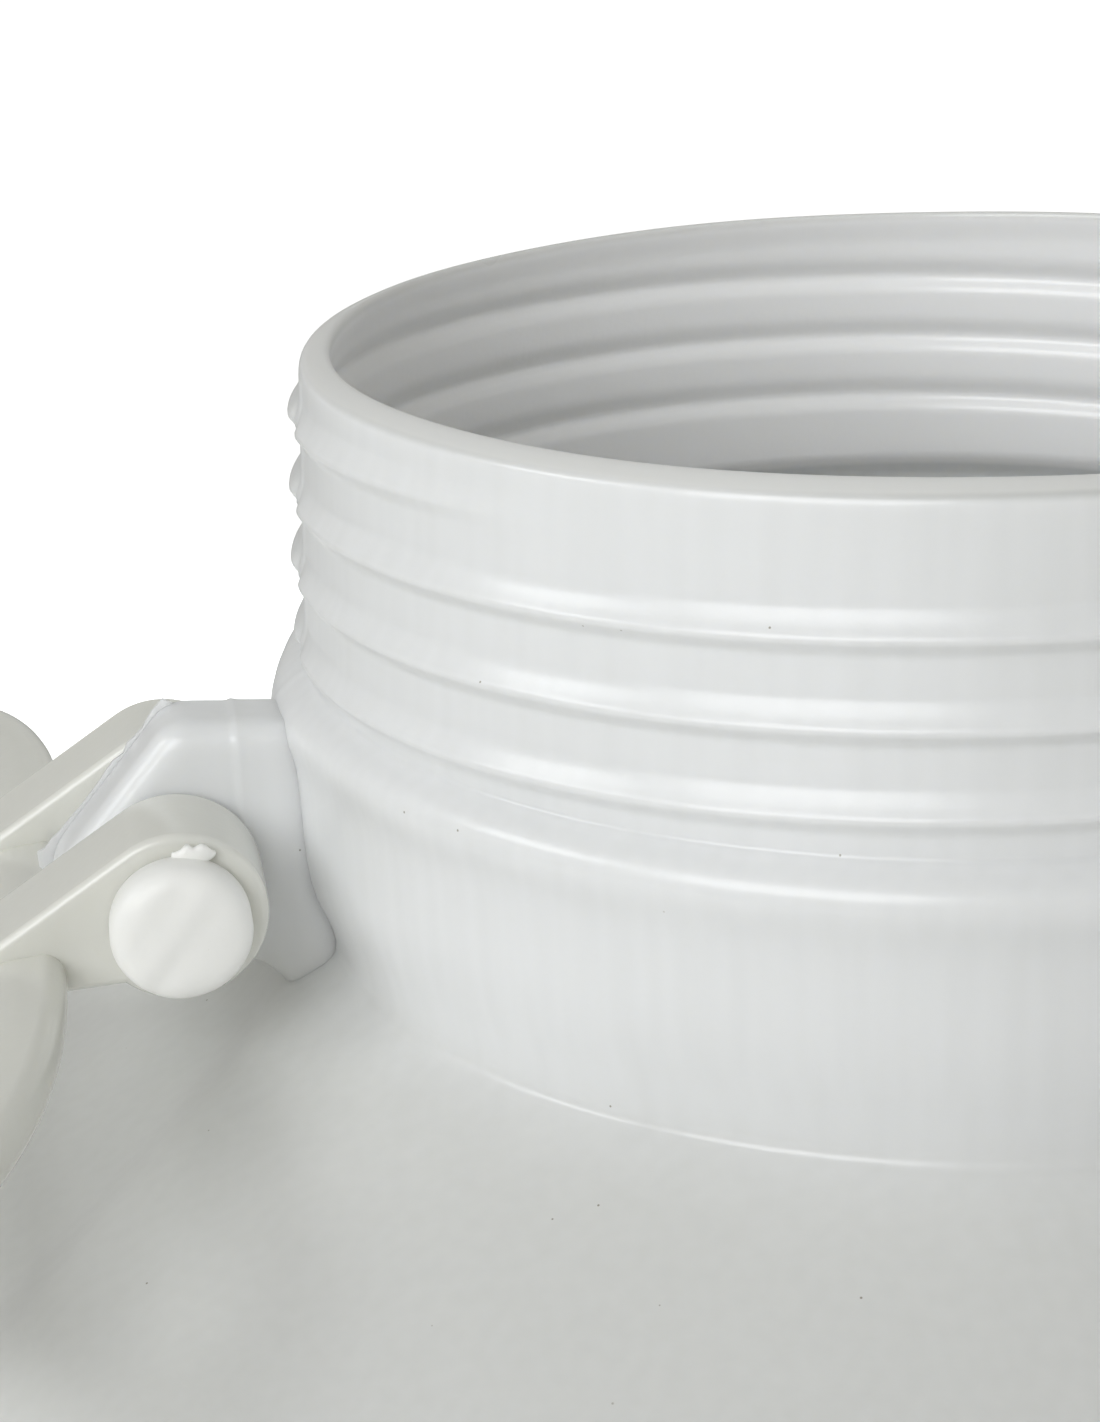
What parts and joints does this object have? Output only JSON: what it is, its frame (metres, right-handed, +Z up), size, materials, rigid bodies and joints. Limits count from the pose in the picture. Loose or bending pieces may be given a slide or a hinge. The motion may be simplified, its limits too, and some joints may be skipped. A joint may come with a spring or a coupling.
{
  "type": "wide-mouth plastic drum",
  "caption": "Open wide-mouth plastic drum with a screw-threaded neck, sloping shoulder and looped carrying handles hinged on ears beside the neck.",
  "frame": {"origin": "middle of the base, on the surface the drum stands on", "axes": "+Z up along the drum's axis; the two ears and their handles stand on the X axis, -X is the one nearest the picture's viewer side"},
  "size_m": [0.4126, 0.38, 0.5213],
  "materials": {
    "drum_plastic": "slightly translucent natural polyethylene, satin",
    "handle_plastic": "translucent natural polyethylene, glossy",
    "pin_plastic": "whitish polyethylene, satin"
  },
  "bodies": {
    "drum": {"drum": "drum_plastic"},
    "handle_left": {"handle_left": "handle_plastic", "pin_left": "pin_plastic"},
    "handle_right": {"handle_right": "handle_plastic", "pin_right": "pin_plastic"}
  },
  "joints": [
    {"name": "handle_left_swing", "type": "hinge", "parent": "drum", "child": "handle_left", "pos_m": [-0.1255, 0, 0.4463], "axis": [0, 1, 0], "range_deg": [0, 90]},
    {"name": "handle_right_swing", "type": "hinge", "parent": "drum", "child": "handle_right", "pos_m": [0.1255, 0, 0.4463], "axis": [0, -1, 0], "range_deg": [0, 90]}
  ]
}
